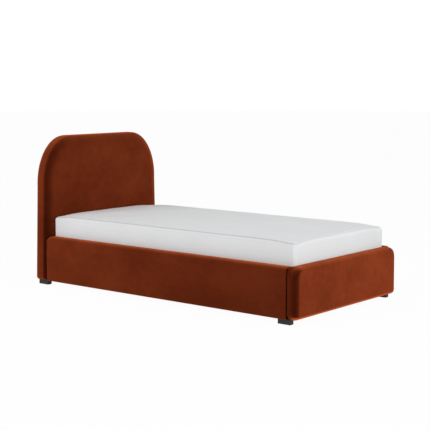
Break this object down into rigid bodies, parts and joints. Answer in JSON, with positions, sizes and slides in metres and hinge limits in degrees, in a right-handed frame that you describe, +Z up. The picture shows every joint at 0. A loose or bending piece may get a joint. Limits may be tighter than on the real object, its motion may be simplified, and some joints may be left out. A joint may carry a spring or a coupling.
{
  "type": "ottoman bed",
  "caption": "Padded single bed with a tall rounded headboard and a slatted platform that lifts from the foot end on spring-assisted arms over a storage box.",
  "frame": {"origin": "on the floor under the middle of the bed's overall footprint", "axes": "+X across the bed, +Y along it towards the headboard, +Z up; seen from the foot end, right is +X"},
  "size_m": [1.06, 2.05, 0.962],
  "materials": {
    "velvet": "rust red velvet with a soft pile",
    "lining": "black woven dust cover",
    "board": "plain fibreboard",
    "timber": "sawn pine",
    "foot": "matt black, lightly textured",
    "zinc": "bright zinc plate",
    "pin": "turned steel",
    "black_steel": "black powder coat",
    "spring_tube": "black gloss paint",
    "spring_rod": "polished rod",
    "rubber": "matt black",
    "plastic": "moulded black",
    "slat": "sealed birch ply",
    "webbing": "black woven webbing",
    "mattress": "plain white knitted cover"
  },
  "bodies": {
    "base": {"headboard_cover": "velvet", "headboard_panel": "board", "headboard_battens": "timber", "headboard_back": "lining", "footboard_cover": "velvet", "footboard_panel": "board", "footboard_lining": "lining", "rail_cover_left": "velvet", "rail_cover_right": "velvet", "rail_board_left": "timber", "rail_board_right": "timber", "corner_blocks": "timber", "corner_bolts": "zinc", "foot_head_left": "foot", "foot_head_right": "foot", "foot_end_left": "foot", "foot_end_right": "foot", "foot_screws": "zinc", "floor_ledges": "timber", "floor_joists": "timber", "floor_panel_head": "board", "floor_panel_end": "board", "lower_bracket_left": "black_steel", "lower_bracket_right": "black_steel", "bracket_bolts": "zinc", "lower_pins_left": "pin", "lower_pins_right": "pin", "rest_bracket_left": "black_steel", "rest_bracket_right": "black_steel", "rest_pads": "rubber", "rest_bolts": "zinc"},
    "long_arm_left": {"long_arm_left": "black_steel", "spring_stud_left": "pin"},
    "short_arm_left": {"short_arm_left": "black_steel"},
    "gas_spring_tube_left": {"gas_spring_tube_left": "spring_tube"},
    "gas_spring_rod_left": {"gas_spring_rod_left": "spring_rod"},
    "long_arm_right": {"long_arm_right": "black_steel", "spring_stud_right": "pin"},
    "short_arm_right": {"short_arm_right": "black_steel"},
    "gas_spring_tube_right": {"gas_spring_tube_right": "spring_tube"},
    "gas_spring_rod_right": {"gas_spring_rod_right": "spring_rod"},
    "platform": {"platform_frame": "black_steel", "tube_caps": "plastic", "slats": "slat", "slat_holders": "plastic", "mattress_stops": "black_steel", "pull_strap": "webbing", "strap_clamp": "zinc", "strap_screws": "zinc", "upper_bracket_left": "black_steel", "upper_bracket_right": "black_steel", "upper_pins_left": "pin", "upper_pins_right": "pin", "upper_bracket_bolts": "zinc", "mattress": "mattress"}
  },
  "joints": [
    {"name": "lift", "type": "hinge", "parent": "base", "child": "long_arm_left", "pos_m": [-0.454, 0.5615, 0.082], "axis": [1, 0, 0], "range_deg": [0, 38.5]},
    {"name": "platform_tilt", "type": "hinge", "parent": "long_arm_left", "child": "platform", "pos_m": [-0.454, 0.8485, 0.1975], "axis": [1, 0, 0], "range_deg": [-70.9, 0]},
    {"name": "long_arm_right_turn", "type": "hinge", "parent": "base", "child": "long_arm_right", "pos_m": [0.454, 0.5615, 0.082], "axis": [1, 0, 0], "range_deg": [0, 38.6]},
    {"name": "short_arm_left_turn", "type": "hinge", "parent": "base", "child": "short_arm_left", "pos_m": [-0.463, 0.631, 0.1395], "axis": [1, 0, 0], "range_deg": [0, 44.3]},
    {"name": "gas_spring_tube_left_turn", "type": "hinge", "parent": "base", "child": "gas_spring_tube_left", "pos_m": [-0.434, 0.6715, 0.182], "axis": [1, 0, 0], "range_deg": [0, 19.4]},
    {"name": "gas_spring_rod_left_turn", "type": "hinge", "parent": "long_arm_left", "child": "gas_spring_rod_left", "pos_m": [-0.434, 0.4515, 0.182], "axis": [1, 0, 0], "range_deg": [-19.4, 0]},
    {"name": "short_arm_right_turn", "type": "hinge", "parent": "base", "child": "short_arm_right", "pos_m": [0.463, 0.631, 0.1395], "axis": [1, 0, 0], "range_deg": [0, 44.3]},
    {"name": "gas_spring_tube_right_turn", "type": "hinge", "parent": "base", "child": "gas_spring_tube_right", "pos_m": [0.434, 0.6715, 0.182], "axis": [1, 0, 0], "range_deg": [0, 19.4]},
    {"name": "gas_spring_rod_right_turn", "type": "hinge", "parent": "long_arm_right", "child": "gas_spring_rod_right", "pos_m": [0.434, 0.4515, 0.182], "axis": [1, 0, 0], "range_deg": [-19.4, 0]}
  ],
  "couplings": [
    {"joint": "platform_tilt", "follows": "lift", "ratio": -1.8389},
    {"joint": "long_arm_right_turn", "follows": "lift", "ratio": 1},
    {"joint": "short_arm_left_turn", "follows": "lift", "ratio": 1.1472},
    {"joint": "gas_spring_tube_left_turn", "follows": "lift", "ratio": 0.5},
    {"joint": "gas_spring_rod_left_turn", "follows": "lift", "ratio": -0.5},
    {"joint": "short_arm_right_turn", "follows": "lift", "ratio": 1.1472},
    {"joint": "gas_spring_tube_right_turn", "follows": "lift", "ratio": 0.5},
    {"joint": "gas_spring_rod_right_turn", "follows": "lift", "ratio": -0.5}
  ]
}
